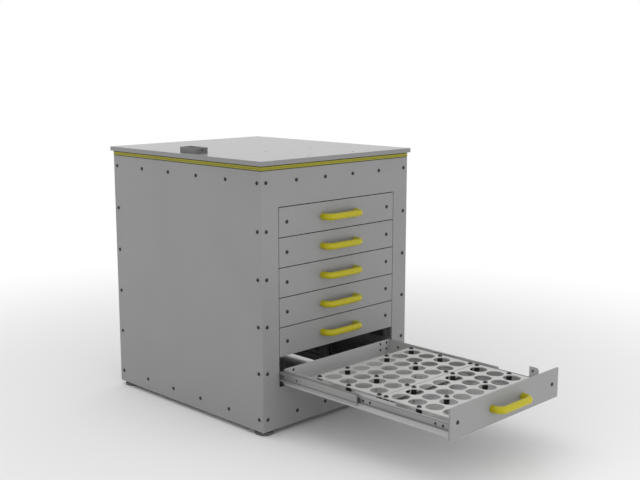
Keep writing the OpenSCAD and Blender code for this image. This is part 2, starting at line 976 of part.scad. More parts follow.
corner_posts();
frame_rails();
slide_uprights();
left_panel();
right_panel();
back_panel();
front_panel();
edge_band();
corner_blocks();
top_plate();
feet();
worktop_nest();
panel_screws();
top_screws();
cabinet_slides_left();
cabinet_slides_right();
slide_screws();
for (n = [1 : drawer_count]) {
    drawer_front(n);
    handle(n);
    tray(n);
    rack_plates(n);
    drawer_hardware(n);
    drawer_slides(n);
    middle_slides(n);
}
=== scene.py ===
"""Small parts cabinet with six full-extension drawers: its finishes, its small
pieces and the studio around it. All lengths are in metres, in the frame of the
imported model: the origin is on the floor under the body, +X right, +Y back."""

import math

import bmesh
import bpy
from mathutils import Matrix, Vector


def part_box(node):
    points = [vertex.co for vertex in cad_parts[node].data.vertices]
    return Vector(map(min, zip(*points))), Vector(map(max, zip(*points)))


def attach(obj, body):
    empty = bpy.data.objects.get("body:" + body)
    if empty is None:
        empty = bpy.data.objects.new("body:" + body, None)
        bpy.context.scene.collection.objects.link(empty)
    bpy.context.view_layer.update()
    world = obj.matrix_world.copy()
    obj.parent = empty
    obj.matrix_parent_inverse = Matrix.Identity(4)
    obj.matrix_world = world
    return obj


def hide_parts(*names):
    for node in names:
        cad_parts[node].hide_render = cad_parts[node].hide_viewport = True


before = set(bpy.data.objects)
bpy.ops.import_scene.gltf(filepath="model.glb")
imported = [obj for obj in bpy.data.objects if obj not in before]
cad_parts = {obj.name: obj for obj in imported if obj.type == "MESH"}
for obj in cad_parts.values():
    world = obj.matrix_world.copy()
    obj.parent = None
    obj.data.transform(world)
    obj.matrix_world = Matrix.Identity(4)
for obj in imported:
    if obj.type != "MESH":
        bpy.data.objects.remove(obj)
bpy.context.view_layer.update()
DRAWERS = range(1, 7)
MM = 0.001

# Camera, from the perspective of the photograph
CAMERA_PLACE = Vector((-2.5774, -2.9018, 1.2723))
CAMERA_AZIMUTH = math.radians(-45.05)
CAMERA_ELEVATION = math.radians(9.98)
PHOTO_WIDTH = 640
FOCAL_PIXELS = 1015.5
# Width of the sensor in millimetres, as the lens is
SENSOR = 36.0
FAR_CLIP = 200.0


def make_camera():
    data = bpy.data.cameras.new("camera")
    data.sensor_width = SENSOR
    data.lens = FOCAL_PIXELS * SENSOR / PHOTO_WIDTH
    data.clip_end = FAR_CLIP
    camera = bpy.data.objects.new("camera", data)
    turn, tilt = CAMERA_AZIMUTH, CAMERA_ELEVATION
    ahead = Vector((-math.sin(turn) * math.cos(tilt), math.cos(turn) * math.cos(tilt),
                    -math.sin(tilt)))
    camera.location = CAMERA_PLACE
    camera.rotation_mode = "QUATERNION"
    camera.rotation_quaternion = ahead.to_track_quat("-Z", "Y")
    bpy.context.scene.collection.objects.link(camera)
    bpy.context.scene.camera = camera


# Building node trees

class Graph:
    """Adds nodes to a tree; inputs are set or linked by their name or index."""

    def __init__(self, tree):
        self.tree = tree

    def add(self, kind, inputs=None, **settings):
        node = self.tree.nodes.new(kind)
        for name, value in settings.items():
            setattr(node, name, value)
        for name, value in (inputs or {}).items():
            if isinstance(value, bpy.types.NodeSocket):
                self.tree.links.new(value, node.inputs[name])
            else:
                node.inputs[name].default_value = value
        return node

    def out(self, kind, inputs=None, **settings):
        return self.add(kind, inputs, **settings).outputs[0]

    def math(self, operation, a, b):
        return self.out("ShaderNodeMath", {0: a, 1: b}, operation=operation)


# Materials

# How far a pattern is stretched along X, Y and Z
EVEN = (1, 1, 1)
ALONG_Y = (60, 1, 60)
PATCH_DETAIL = 3.0
GRAIN_DETAIL = 2.0
# Most of a noise's values lie between these
NOISE_LOW, NOISE_HIGH = 0.3, 0.7
# Where the painted shade of a groove begins and is full on its wave, and how dark that painted
# shade is
GROOVE_BEGIN, GROOVE_FULL = 0.3, 0.8
GROOVE_PAINTED_SHADE = 0.16


def object_noise(graph, scale, detail, stretch):
    """Noise on Object coordinates, as a value from 0 to 1."""
    place = graph.add("ShaderNodeTexCoord").outputs["Object"]
    place = graph.out("ShaderNodeMapping", {"Vector": place, "Scale": stretch})
    return graph.out("ShaderNodeTexNoise", {"Vector": place, "Scale": scale, "Detail": detail})


def between(graph, value, low, high):
    """The value, from its middle band, spread between low and high."""
    node = graph.add("ShaderNodeMapRange", {
        "Value": value, "From Min": NOISE_LOW, "From Max": NOISE_HIGH,
        "To Min": low, "To Max": high})
    return node.outputs["Result"]


def shaded(graph, colour, factor):
    """The colour times a factor that varies about 1."""
    return graph.out("ShaderNodeVectorMath", {0: colour, "Scale": factor}, operation="SCALE")


def painted_groove_shade(graph, middle, pitch):
    """Painted shade, as a factor on the colour: dark at the height given and at each pitch above
    and below it, else 1.
    """
    place = graph.add("ShaderNodeTexCoord").outputs["Object"]
    height = graph.add("ShaderNodeSeparateXYZ", {0: place}).outputs["Z"]
    turn = graph.math("MULTIPLY", graph.math("SUBTRACT", height, middle), 2 * math.pi / pitch)
    wave = graph.math("COSINE", turn, 0.0)
    return graph.out("ShaderNodeMapRange", {
        "Value": wave, "From Min": GROOVE_BEGIN, "From Max": GROOVE_FULL,
        "To Min": 1.0, "To Max": GROOVE_PAINTED_SHADE})


def finish_of(name, colour, roughness, shade=0.03, patch=5.0, rough_spread=0.04,
              grain=900.0, grain_stretch=EVEN, relief=0.02, metallic=0.0, ior=1.5,
              painted_shade_grooves=None):
    """A coat or metal with broad shade patches and a fine grain in relief.

    Patch and grain are scales of noise, relief is in millimetres, and the last
    argument, for painted shade, is the height of one groove painted dark as if in shadow and the
    distance to the next."""
    material = bpy.data.materials.new(name)
    material.use_nodes = True
    graph = Graph(material.node_tree)
    material.node_tree.nodes.clear()
    broad = object_noise(graph, patch, PATCH_DETAIL, EVEN)
    fine = object_noise(graph, grain, GRAIN_DETAIL, grain_stretch)
    tint = shaded(graph, colour, between(graph, broad, 1 - shade, 1 + shade))
    # Painted shade: the band's grooves are darkened in the colour, where the top plate's overhang
    # and the gap below cast shadow
    if painted_shade_grooves:
        tint = shaded(graph, tint, painted_groove_shade(graph, *painted_shade_grooves))
    dull = between(graph, fine, roughness - rough_spread, roughness + rough_spread)
    bump = graph.out("ShaderNodeBump", {"Height": fine, "Strength": 1.0, "Distance": relief * MM})
    shader = graph.out("ShaderNodeBsdfPrincipled", {
        "Base Color": tint, "Roughness": dull, "Normal": bump, "Metallic": metallic,
        "IOR": ior})
    graph.add("ShaderNodeOutputMaterial", {"Surface": shader})
    return material


# Painted shade on the band: the groove above its two beads, and its distance to the one below
# them, both painted dark where the top plate's overhang and the gap below cast shadow
BAND_MIDDLE = sum(corner.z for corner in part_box("edge_band")) / 2
BAND_SHADE_PITCH = 16 * MM
BAND_PAINTED_SHADE = (BAND_MIDDLE + BAND_SHADE_PITCH / 2, BAND_SHADE_PITCH)
FINISHES = {
    "panel": finish_of("grey_powder_coat", (0.262, 0.262, 0.264), 0.36, shade=0.025,
                       rough_spread=0.07, grain=420.0, relief=0.035),
    "top_plate": finish_of("satin_grey_coat", (0.25, 0.249, 0.252), 0.24, shade=0.02,
                           rough_spread=0.03, grain=260.0, relief=0.004, ior=1.42),
    "frame_profile": finish_of("anodised_profile", (0.44, 0.445, 0.45), 0.38, shade=0.04,
                               metallic=0.8, relief=0.01),
    "band": finish_of("yellow_band_plastic", (0.345, 0.317, 0.014), 0.42, shade=0.03,
                      painted_shade_grooves=BAND_PAINTED_SHADE),
    "handle": finish_of("yellow_gloss_coat", (0.43, 0.377, 0.005), 0.30, shade=0.02,
                        relief=0.006, ior=1.38),
    "tray": finish_of("rolled_sheet_steel", (0.45, 0.45, 0.45), 0.45, shade=0.04, patch=3.0,
                      grain=30.0, grain_stretch=ALONG_Y, relief=0.004, metallic=0.05),
    "rack": finish_of("pale_rack_plastic", (0.55, 0.55, 0.538), 0.45, shade=0.02, relief=0.012),
    "slide": finish_of("zinc_plate", (0.31, 0.31, 0.307), 0.33, shade=0.05, patch=4.0,
                       grain=30.0, grain_stretch=ALONG_Y, relief=0.004, metallic=0.6),
    "black_screw": finish_of("black_oxide", (0.012, 0.012, 0.013), 0.45, shade=0.15, patch=300.0,
                             grain=1500.0, metallic=0.2),
    "plain_screw": finish_of("bright_steel", (0.50, 0.50, 0.49), 0.30, shade=0.06, patch=300.0,
                             grain=1500.0, metallic=0.8),
    "foot": finish_of("dark_rubber", (0.09, 0.09, 0.09), 0.6, shade=0.08),
    "nest": finish_of("dark_moulded_plastic", (0.165, 0.168, 0.165), 0.42, shade=0.05,
                      relief=0.03),
}


# Meshes

def link_mesh(name, mesh):
    """A new object in the scene that shows the mesh."""
    obj = bpy.data.objects.new(name, mesh)
    bpy.context.scene.collection.objects.link(obj)
    return obj


def baked(obj, name):
    """The object with its modifiers applied, as a new object; the old one goes."""
    bpy.context.view_layer.update()
    graph = bpy.context.evaluated_depsgraph_get()
    mesh = bpy.data.meshes.new_from_object(obj.evaluated_get(graph), depsgraph=graph)
    mesh.name = name
    bpy.data.objects.remove(obj)
    return link_mesh(name, mesh)


def smooth(obj, degrees=20):
    """Shades the faces round, except over edges that turn more than the degrees."""
    obj.data.shade_smooth()
    obj.data.set_sharp_from_angle(angle=math.radians(degrees))
    return obj


def dressed(obj, slot, body, nodes):
    """Gives a finished piece its material, its slot, its body and what it replaces."""
    obj.data.materials.clear()
    obj.data.materials.append(FINISHES[slot])
    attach(obj, body)
    if nodes:
        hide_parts(*nodes)
    return obj


# Points of a node's triangles that are nearer than this are one point
MERGE_WITHIN = 2e-6
# Faces that turn less than this against each other become one face
FLAT_WITHIN = math.radians(0.5)
# Edges that turn less, or are shorter, such as those round a screw's hole, stay sharp
EASED_FROM = math.radians(35)
SHORTEST_EASED = 0.6 * MM


def merged_solid(node):
    """A copy of a node's triangles, merged, without the normals stored on them."""
    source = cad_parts[node].data
    plain = bpy.data.meshes.new(node + "_plain")
    plain.from_pydata([v.co for v in source.vertices], [], [f.vertices for f in source.polygons])
    bm = bmesh.new()
    bm.from_mesh(plain)
    bpy.data.meshes.remove(plain)
    bmesh.ops.remove_doubles(bm, verts=bm.verts, dist=MERGE_WITHIN)
    return bm


def islands(bm):
    """The mesh's separate solids, each as a list of vertices, always in the same order."""
    seen = set()
    found = []
    for first in bm.verts:
        if first in seen:
            continue
        seen.add(first)
        stack = [first]
        solid = []
        while stack:
            vert = stack.pop()
            solid.append(vert)
            for edge in vert.link_edges:
                other = edge.other_vert(vert)
                if other not in seen:
                    seen.add(other)
                    stack.append(other)
        found.append(solid)
    return found


def extent(points):
    """The low and the high corner of the box round some points."""
    low = Vector([min(p[k] for p in points) for k in range(3)])
    high = Vector([max(p[k] for p in points) for k in range(3)])
    return low, high


def eased(node, name, slot, body, edge=0.5, segments=2, round_to=8, keep=None):
    """A node's own form with edges eased by some millimetres.

    Faces that turn up to round_to degrees are shaded as one, and keep picks
    some of the node's solids by their size."""
    bm = merged_solid(node)
    if keep:
        for solid in islands(bm):
            low, high = extent([v.co for v in solid])
            if not keep(high - low):
                bmesh.ops.delete(bm, geom=solid, context="VERTS")
    bmesh.ops.dissolve_limit(bm, angle_limit=FLAT_WITHIN, verts=bm.verts, edges=bm.edges)
    weight = bm.edges.layers.float.new("bevel_weight_edge")
    for line in bm.edges:
        turned = line.is_manifold and line.calc_face_angle() > EASED_FROM
        line[weight] = 1.0 if turned and line.calc_length() > SHORTEST_EASED else 0.0
    mesh = bpy.data.meshes.new(name)
    bm.to_mesh(mesh)
    bm.free()
    rough = link_mesh(name + "_rough", mesh)
    bevel = rough.modifiers.new("ease", "BEVEL")
    bevel.width = edge * MM
    bevel.segments = segments
    bevel.limit_method = "WEIGHT"
    bevel.miter_outer = "MITER_ARC"
    return dressed(smooth(baked(rough, name), round_to), slot, body, [node])


# Node trees that make the repeated pieces, the handles and the rack plates

LENGTH, COUNT, FINISH = "NodeSocketFloat", "NodeSocketInt", "NodeSocketMaterial"
# Sides of the round and hexagonal forms of a fastener
HEAD_SIDES = 24
# An odd number of rings leaves no point of the head's ball in the plane of its cut
HEAD_RINGS = 13
FLUSH_HEAD_SIDES = 32
SHANK_SIDES = 16
SOCKET_SIDES = 6
# The cutter under a head: its sides, and its radius as a multiple of the head's
UNDER_SIDES = 8
UNDER_REACH = 3.0
# As shares of a head's height: how high its socket's cutter is centred, and how much
# longer than its own length a shank is made, half of that inside the head
SOCKET_LIFT = 0.9
SHANK_EXTRA = 0.2
SLEEVE_SIDES = 28
SLEEVE_RIM_STEPS = 3
RACK_HOLE_SIDES = 48
SCREW_HOLE_SIDES = 16
# Points of a rack plate's two faces that are nearer than this are one point
RACK_MERGE = 1e-6
HANDLE_RADIUS = 12 * MM


def new_tree(name, inputs):
    """A tree with one geometry in and out, and named inputs: (name, kind, value)."""
    tree = bpy.data.node_groups.new(name, "GeometryNodeTree")
    tree.interface.new_socket("Geometry", in_out="INPUT", socket_type="NodeSocketGeometry")
    for label, kind, value in inputs:
        socket = tree.interface.new_socket(label, in_out="INPUT", socket_type=kind)
        if value is not None:
            socket.default_value = value
    tree.interface.new_socket("Geometry", in_out="OUTPUT", socket_type="NodeSocketGeometry")
    graph = Graph(tree)
    return tree, graph, graph.add("NodeGroupInput").outputs


def end_tree(graph, geometry, finish):
    """Ends a tree in real geometry with its finish."""
    whole = graph.out("GeometryNodeRealizeInstances", {"Geometry": geometry})
    done = graph.out("GeometryNodeSetMaterial", {"Geometry": whole, "Material": finish})
    graph.add("NodeGroupOutput", {0: done})


def shifted(graph, geometry, place=None, scale=None):
    """The geometry scaled and moved; both take a number or a socket for each axis."""
    inputs = {"Geometry": geometry}
    if place:
        inputs["Translation"] = graph.out("ShaderNodeCombineXYZ", dict(zip("XYZ", place)))
    if scale:
        inputs["Scale"] = graph.out("ShaderNodeCombineXYZ", dict(zip("XYZ", scale)))
    return graph.out("GeometryNodeTransform", inputs)


def joined(graph, *geometries):
    node = graph.add("GeometryNodeJoinGeometry")
    for geometry in geometries:
        graph.tree.links.new(geometry, node.inputs[0])
    return node.outputs[0]


def cylinder(graph, sides, radius, depth):
    return graph.out("GeometryNodeMeshCylinder", {
        "Vertices": sides, "Radius": radius, "Depth": depth}, fill_type="NGON")


def cut(graph, body, *cutters):
    """The closed body less the closed cutters, by the solver that always closes its result."""
    node = graph.add("GeometryNodeMeshBoolean", {"Mesh 1": body}, operation="DIFFERENCE",
                     solver="MANIFOLD")
    for cutter in cutters:
        graph.tree.links.new(cutter, node.inputs["Mesh 2"])
    return node.outputs[0]


def on_points(graph, points, shape, seed):
    """The shape on each point, its +Z along the facing attribute, at a random spin."""
    facing = graph.out("GeometryNodeInputNamedAttribute", {"Name": "facing"},
                       data_type="FLOAT_VECTOR")
    turn = graph.out("FunctionNodeAlignRotationToVector", {"Vector": facing}, axis="Z")
    chance = graph.add("FunctionNodeRandomValue", {"Seed": seed}, data_type="FLOAT")
    # Input 3 is the greatest plain number, and output 1 the number itself
    chance.inputs[3].default_value = 2 * math.pi
    spin = graph.out("FunctionNodeAxisAngleToRotation", {"Angle": chance.outputs[1]})
    turn = graph.out("FunctionNodeRotateRotation", {"Rotation": turn, "Rotate By": spin},
                     rotation_space="LOCAL")
    return graph.out("GeometryNodeInstanceOnPoints", {
        "Points": points, "Instance": shape, "Rotation": turn})


def button_screw_tree():
    """Screws with a domed head and a hexagonal socket, seated on the points."""
    tree, graph, given = new_tree("button_screws", [
        ("Head radius", LENGTH, 5 * MM), ("Head height", LENGTH, 3 * MM),
        ("Socket radius", LENGTH, 2.1 * MM), ("Shank radius", LENGTH, 3 * MM),
        ("Shank length", LENGTH, 14 * MM), ("Seed", COUNT, 3), ("Finish", FINISH, None)])
    radius, height = given["Head radius"], given["Head height"]
    ball = graph.out("GeometryNodeMeshUVSphere", {
        "Segments": HEAD_SIDES, "Rings": HEAD_RINGS, "Radius": 1.0})
    dome = shifted(graph, ball, scale=(radius, radius, height))
    wide = graph.math("MULTIPLY", radius, UNDER_REACH)
    under = cylinder(graph, UNDER_SIDES, wide, height)
    under = shifted(graph, under, (0.0, 0.0, graph.math("MULTIPLY", height, -0.5)))
    socket = cylinder(graph, SOCKET_SIDES, given["Socket radius"], height)
    socket = shifted(graph, socket, (0.0, 0.0, graph.math("MULTIPLY", height, SOCKET_LIFT)))
    extra = graph.math("MULTIPLY", height, SHANK_EXTRA)
    long = graph.math("ADD", given["Shank length"], extra)
    drop = graph.math("MULTIPLY", given["Shank length"], -0.5)
    shank = cylinder(graph, SHANK_SIDES, given["Shank radius"], long)
    shank = shifted(graph, shank, (0.0, 0.0, drop))
    head = cut(graph, dome, under, socket)
    screws = on_points(graph, given["Geometry"], joined(graph, head, shank), given["Seed"])
    end_tree(graph, screws, given["Finish"])
    return tree


def flush_screw_tree():
    """Countersunk screws whose heads end level with the points."""
    tree, graph, given = new_tree("flush_screws", [
        ("Head radius", LENGTH, 5 * MM), ("Head height", LENGTH, 2.7 * MM),
        ("Socket radius", LENGTH, 2.1 * MM), ("Shank radius", LENGTH, 2.5 * MM),
        ("Shank length", LENGTH, 34 * MM), ("Seed", COUNT, 5), ("Finish", FINISH, None)])
    height = given["Head height"]
    cone = graph.out("GeometryNodeMeshCone", {
        "Vertices": FLUSH_HEAD_SIDES, "Radius Top": given["Head radius"],
        "Radius Bottom": given["Shank radius"], "Depth": height}, fill_type="NGON")
    cone = shifted(graph, cone, (0.0, 0.0, graph.math("MULTIPLY", height, -1.0)))
    socket = cylinder(graph, SOCKET_SIDES, given["Socket radius"], height)
    long = graph.math("SUBTRACT", given["Shank length"], height)
    drop = graph.math("MULTIPLY", graph.math("ADD", given["Shank length"], height), -0.5)
    shank = cylinder(graph, SHANK_SIDES, given["Shank radius"], long)
    shank = shifted(graph, shank, (0.0, 0.0, drop))
    head = cut(graph, cone, socket)
    screws = on_points(graph, given["Geometry"], joined(graph, head, shank), given["Seed"])
    end_tree(graph, screws, given["Finish"])
    return tree


def sleeve_tree():
    """Round sleeves with a bore and rounded rims, standing on the points."""
    tree, graph, given = new_tree("sleeves", [
        ("Radius", LENGTH, 9.5 * MM), ("Bore radius", LENGTH, 3.1 * MM),
        ("Height", LENGTH, 20 * MM), ("Rim", LENGTH, 0.9 * MM),
        ("Seed", COUNT, 7), ("Finish", FINISH, None)])
    wall = graph.math("SUBTRACT", given["Radius"], given["Bore radius"])
    section = graph.out("GeometryNodeCurvePrimitiveQuadrilateral", {
        "Width": wall, "Height": given["Height"]}, mode="RECTANGLE")
    section = graph.out("GeometryNodeFilletCurve", {
        "Curve": section, "Radius": given["Rim"], "Count": SLEEVE_RIM_STEPS}, mode="POLY")
    middle = graph.math("MULTIPLY", graph.math("ADD", given["Radius"], given["Bore radius"]), 0.5)
    round_path = graph.out("GeometryNodeCurvePrimitiveCircle", {
        "Resolution": SLEEVE_SIDES, "Radius": middle})
    sleeve = graph.out("GeometryNodeCurveToMesh", {
        "Curve": round_path, "Profile Curve": section})
    half = graph.math("MULTIPLY", given["Height"], 0.5)
    sleeve = shifted(graph, sleeve, (0.0, 0.0, half))
    sleeves = on_points(graph, given["Geometry"], sleeve, given["Seed"])
    end_tree(graph, sleeves, given["Finish"])
    return tree


def stem_tree():
    """The bare stems of long screws, standing on the points."""
    tree, graph, given = new_tree("stems", [
        ("Radius", LENGTH, 3 * MM), ("Length", LENGTH, 29 * MM), ("Seed", COUNT, 11),
        ("Finish", FINISH, None)])
    stem = cylinder(graph, SHANK_SIDES, given["Radius"], given["Length"])
    stem = shifted(graph, stem, (0.0, 0.0, graph.math("MULTIPLY", given["Length"], 0.5)))
    stems = on_points(graph, given["Geometry"], stem, given["Seed"])
    end_tree(graph, stems, given["Finish"])
    return tree


def handle_tree():
    """A round bar along a path of straight lines, with its corners bent round."""
    tree, graph, given = new_tree("bar_handle", [
        ("Bar radius", LENGTH, HANDLE_RADIUS), ("Bend radius", LENGTH, 25 * MM),
        ("Bend steps", COUNT, 12), ("Sides", COUNT, 40), ("Finish", FINISH, None)])
    path = graph.out("GeometryNodeMeshToCurve", {"Mesh": given["Geometry"]})
    path = graph.out("GeometryNodeFilletCurve", {
        "Curve": path, "Radius": given["Bend radius"], "Count": given["Bend steps"]}, mode="POLY")
    ring = graph.out("GeometryNodeCurvePrimitiveCircle", {
        "Resolution": given["Sides"], "Radius": given["Bar radius"]})
    bar = graph.out("GeometryNodeCurveToMesh", {
        "Curve": path, "Profile Curve": ring, "Fill Caps": True})
    end_tree(graph, bar, given["Finish"])
    return tree


def rack_tree():
    """A plate with a grid of large holes, and a screw's hole at each point."""
    tree, graph, given = new_tree("rack_plate", [
        ("Width", LENGTH, 504 * MM), ("Depth", LENGTH, 295.75 * MM), ("Thickness", LENGTH, 3 * MM),
        ("Columns", COUNT, 7), ("Rows", COUNT, 4), ("Pitch", LENGTH, 68.75 * MM),
        ("Hole radius", LENGTH, 30 * MM), ("Screw hole radius", LENGTH, 3.25 * MM),
        ("Finish", FINISH, None)])
    outline = graph.out("GeometryNodeCurvePrimitiveQuadrilateral", {
        "Width": given["Width"], "Height": given["Depth"]}, mode="RECTANGLE")
    spans = [graph.math("MULTIPLY", graph.math("SUBTRACT", given[n], 1.0), given["Pitch"])
             for n in ("Columns", "Rows")]
    grid = graph.out("GeometryNodeMeshGrid", {
        "Size X": spans[0], "Size Y": spans[1],
        "Vertices X": given["Columns"], "Vertices Y": given["Rows"]})
    large = graph.out("GeometryNodeCurvePrimitiveCircle", {
        "Resolution": RACK_HOLE_SIDES, "Radius": given["Hole radius"]})
    small = graph.out("GeometryNodeCurvePrimitiveCircle", {
        "Resolution": SCREW_HOLE_SIDES, "Radius": given["Screw hole radius"]})
    holes = graph.out("GeometryNodeInstanceOnPoints", {"Points": grid, "Instance": large})
    screws = graph.out("GeometryNodeInstanceOnPoints", {
        "Points": given["Geometry"], "Instance": small})
    lines = graph.out("GeometryNodeRealizeInstances", {
        "Geometry": joined(graph, outline, holes, screws)})
    sheet = graph.out("GeometryNodeFillCurve", {"Curve": lines}, mode="NGONS")
    raised = graph.out("GeometryNodeExtrudeMesh", {
        "Mesh": sheet, "Offset Scale": given["Thickness"], "Individual": False}, mode="FACES")
    under = graph.out("GeometryNodeFlipFaces", {"Mesh": sheet})
    plate = graph.out("GeometryNodeMergeByDistance", {
        "Geometry": joined(graph, raised, under), "Distance": RACK_MERGE})
    end_tree(graph, plate, given["Finish"])
    return tree


TREES = {
    "button": button_screw_tree(), "flush": flush_screw_tree(), "sleeve": sleeve_tree(),
    "stem": stem_tree(), "handle": handle_tree(), "rack": rack_tree(),
}


def grown(name, tree, points, values, facings=None, edges=()):
    """What a tree makes on some points, as a plain mesh; values go to its inputs by name."""
    mesh = bpy.data.meshes.new(name)
    mesh.from_pydata([tuple(p) for p in points], list(edges), [])
    if facings:
        attribute = mesh.attributes.new("facing", "FLOAT_VECTOR", "POINT")
        attribute.data.foreach_set("vector", [c for f in facings for c in f])
    obj = link_mesh(name + "_rough", mesh)
    modifier = obj.modifiers.new("tree", "NODES")
    modifier.node_group = tree
    for item in tree.interface.items_tree:
        if item.item_type == "SOCKET" and item.in_out == "INPUT" and item.name in values:
            modifier[item.identifier] = values[item.name]
    return baked(obj, name)


# Reading the fasteners' places from the frame

# A point is on a head's rim if its distance from the axis is this share of the greatest
ON_RIM = 0.97
# Height of a head's rim as a share of the head's, and the crown's height over the rim's
RIM_SHARE = 0.35
CROWN_TO_RIM = (1 - RIM_SHARE) / RIM_SHARE
SHANK_RADIUS = 3 * MM
# Radius of a socket as a share of the head's
SOCKET_SHARE = 0.36


class Fastener:
    """Seat, facing and sizes of a headed screw, measured on its solid."""

    def __init__(self, points):
        low, high = extent(points)
        size = high - low
        gaps = [abs(size[(k + 1) % 3] - size[(k + 2) % 3]) for k in range(3)]
        axis = gaps.index(min(gaps))
        seat = (low + high) / 2
        across = [k for k in range(3) if k != axis]
        reach = [math.hypot(*(p[k] - seat[k] for k in across)) for p in points]
        self.radius = max(reach)
        rims = [p[axis] for p, r in zip(points, reach) if r > ON_RIM * self.radius]
        rim_low, rim_high = min(rims), max(rims)
        rim = rim_high - rim_low
        above, below = high[axis] - rim_high, rim_low - low[axis]
        # The crown is on the side whose height suits the rim's better
        upward = abs(above / rim - CROWN_TO_RIM) < abs(below / rim - CROWN_TO_RIM)
        crown, self.shank = (above, below) if upward else (below, above)
        self.height = rim + crown
        sign = 1 if upward else -1
        self.facing = Vector([sign if k == axis else 0 for k in range(3)])
        seat[axis] = rim_low if upward else rim_high
        self.seat = seat


def solids_of(node):
    """The points of each solid of a node."""
    bm = merged_solid(node)
    found = [[v.co.copy() for v in solid] for solid in islands(bm)]
    bm.free()
    return found


def button_screws(name, node, body, slot, solids, shank=None):
    """One piece with a domed screw for each solid; all have one head and shank."""
    found = [Fastener(points) for points in solids]
    first = found[0]
    piece = grown(name, TREES["button"], [f.seat for f in found], {
        "Head radius": first.radius, "Head height": first.height,
        "Socket radius": first.radius * SOCKET_SHARE, "Shank radius": SHANK_RADIUS,
        "Shank length": shank or first.shank, "Finish": FINISHES[slot],
    }, [f.facing for f in found])
    return dressed(smooth(piece), slot, body, [node])


# The cabinet's body

def make_body():
    body = "cabinet"
    for side in ("left_panel", "right_panel", "back_panel", "front_panel"):
        eased(side, side + "_plate", "panel", body, edge=0.3)
    eased("top_plate", "worktop_plate", "top_plate", body, edge=1.0, segments=3)
    eased("edge_band", "rounded_band", "band", body, edge=0.3, round_to=20)
    eased("corner_blocks", "top_corner_blocks", "frame_profile", body)
    eased("feet", "rubber_feet", "foot", body, round_to=35)
    eased("worktop_nest", "nest_cup", "nest", body, edge=0.8, segments=3)
    for node in ("corner_posts", "frame_rails", "slide_uprights"):
        eased(node, node + "_profile", "frame_profile", body, edge=0.35, segments=1)
    for side in ("left", "right"):
        eased("cabinet_slides_" + side, "cabinet_members_" + side, "slide", body, edge=0.4)
    button_screws("button_screws", "panel_screws", body, "black_screw", solids_of("panel_screws"))
    button_screws("member_screws", "slide_screws", body, "black_screw", solids_of("slide_screws"))
    make_top_screws(body)


def make_top_screws(body):
    solids = [extent(points) for points in solids_of("top_screws")]
    places = [((low.x + high.x) / 2, (low.y + high.y) / 2, high.z) for low, high in solids]
    low, high = solids[0]
    up = [(0, 0, 1)] * len(places)
    piece = grown("countersunk_screws", TREES["flush"], places, {
        "Head radius": (high.x - low.x) / 2, "Shank length": high.z - low.z,
        "Finish": FINISHES["plain_screw"]}, up)
    dressed(smooth(piece), "plain_screw", body, ["top_screws"])


# The drawers

# The hole in a tray's lug, from the tray's front and from its top, and the sheet's
# thickness there
LUG_HOLE_BACK = 81 * MM
LUG_HOLE_DROP = 14 * MM
SHEET = 1.5 * MM
LUG_SCREW = {
    "Head radius": 4 * MM, "Head height": 2.2 * MM, "Socket radius": 1.5 * MM,
    "Shank radius": 2.4 * MM, "Shank length": 6 * MM}
# In a node with solids of two kinds, the strip and the middle members are longer than
# this and the other pieces are shorter
STRIP_FROM = 200 * MM
MEMBER_FROM = 100 * MM
RACK_EDGE = 0.4 * MM
# Sleeves and rack plates: faces that turn up to this angle are shaded as one, and
# edges that turn more are eased
SLEEVE_ROUND_TO = 35
RACK_EASED_FROM = math.radians(35)


def make_handle(n, body):
    """One round bar bent twice, from the front's face out and back."""
    low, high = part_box(f"handle_{n}")
    middle = (low.z + high.z) / 2
    left, right = low.x + HANDLE_RADIUS, high.x - HANDLE_RADIUS
    reach = low.y + HANDLE_RADIUS
    path = [(left, high.y, middle), (left, reach, middle), (right, reach, middle),
            (right, high.y, middle)]
    piece = grown(f"bar_handle_{n}", TREES["handle"], path, {
        "Finish": FINISHES["handle"]}, edges=[(0, 1), (1, 2), (2, 3)])
    dressed(smooth(piece), "handle", body, [f"handle_{n}"])


# A solid is of the first kind whose limits its least and its greatest size exceed, in mm
HARDWARE_KINDS = [("slot_strip", 0, 200), ("rack_screw", 0, 40), ("sleeve", 18.5, 0),
                  ("front_screw", 10.5, 0), ("member_screw", 2, 0), ("rivet", 0, 0)]


def kind_of(points):
    """Which piece of a drawer's hardware a solid is, by its sizes."""
    low, high = extent(points)
    size = sorted(c / MM for c in high - low)
    return next(kind for kind, least, greatest in HARDWARE_KINDS
                if size[0] > least and size[2] > greatest)


def make_hardware(n, body):
    """The screws, sleeves, rivets and strip of a drawer; gives the rack screws' places."""
    node = f"drawer_hardware_{n}"
    kinds = {}
    for points in solids_of(node):
        kinds.setdefault(kind_of(points), []).append(points)
    kinds.pop("slot_strip")
    eased(node, f"slot_strip_{n}", "black_screw", body, edge=0.2,
          keep=lambda size: size.x > STRIP_FROM)
    sleeves = [extent(points) for points in kinds.pop("sleeve")]
    places = [((low.x + high.x) / 2, (low.y + high.y) / 2, low.z) for low, high in sleeves]
    low, high = sleeves[0]
    up = [(0, 0, 1)] * len(places)
    piece = grown(f"rack_sleeves_{n}", TREES["sleeve"], places, {
        "Radius": (high.x - low.x) / 2, "Height": high.z - low.z,
        "Finish": FINISHES["black_screw"]}, up)
    dressed(smooth(piece, SLEEVE_ROUND_TO), "black_screw", body, [node])
    racked = kinds.pop("rack_screw")
    ground = min(extent(points)[0].z for points in racked)
    stems = grown(f"rack_stems_{n}", TREES["stem"], [(x, y, ground) for x, y, z in places], {
        "Length": low.z - ground, "Finish": FINISHES["plain_screw"]}, up)
    dressed(smooth(stems), "plain_screw", body, [node])
    button_screws(f"rack_screws_{n}", node, body, "black_screw", racked,
                  Fastener(racked[0]).shank - (low.z - ground))
    for kind, solids in kinds.items():
        button_screws(f"{kind}s_{n}", node, body, "black_screw", solids)
    return places


